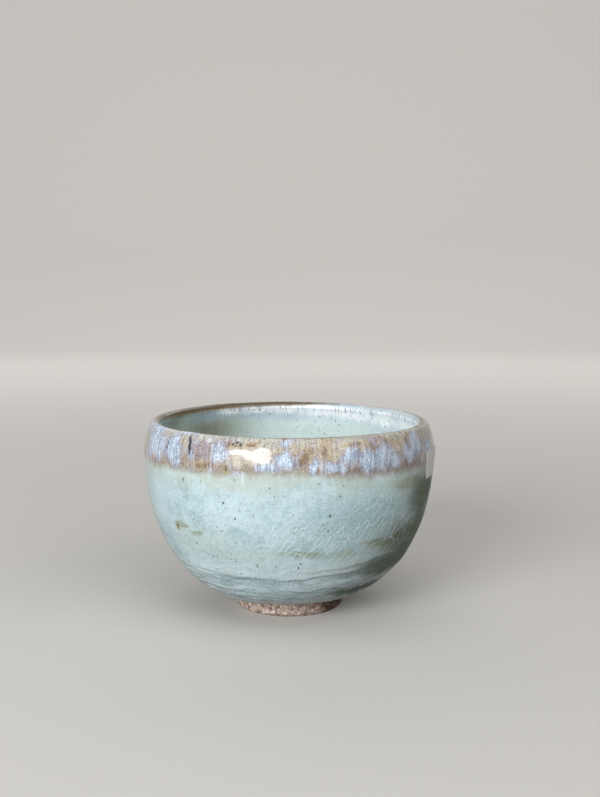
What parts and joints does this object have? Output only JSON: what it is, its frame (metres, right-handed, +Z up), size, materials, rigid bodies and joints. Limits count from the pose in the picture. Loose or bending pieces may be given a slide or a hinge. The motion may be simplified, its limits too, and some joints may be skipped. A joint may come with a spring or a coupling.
{
  "type": "matcha bowl",
  "caption": "Round stoneware tea bowl with a deep belly, a closed-in lip and a low foot ring, glazed inside and out, for whisking and drinking matcha.",
  "frame": {"origin": "on the table under the middle of the foot ring", "axes": "+Z up along the axis of the bowl, -Y towards the viewer of the front"},
  "size_m": [0.12, 0.12, 0.078],
  "materials": {
    "stoneware": "bare fired stoneware, fine sandy grain, matt",
    "foot_clay": "bare fired stoneware, coarse pink-brown body with pale grog, matt and slightly chipped",
    "celadon_glaze": "glossy pale blue-green celadon with white crackle lines and small iron specks",
    "rim_glaze": "glossy opalescent lavender and tan glaze that has run in fine hair streaks",
    "label_paper": "blank matt white paper"
  },
  "bodies": {
    "root": {"bowl_body": "stoneware", "foot_ring": "foot_clay", "outside_glaze": "celadon_glaze", "inside_glaze": "celadon_glaze", "rim_glaze": "rim_glaze", "price_label": "label_paper"}
  },
  "joints": []
}
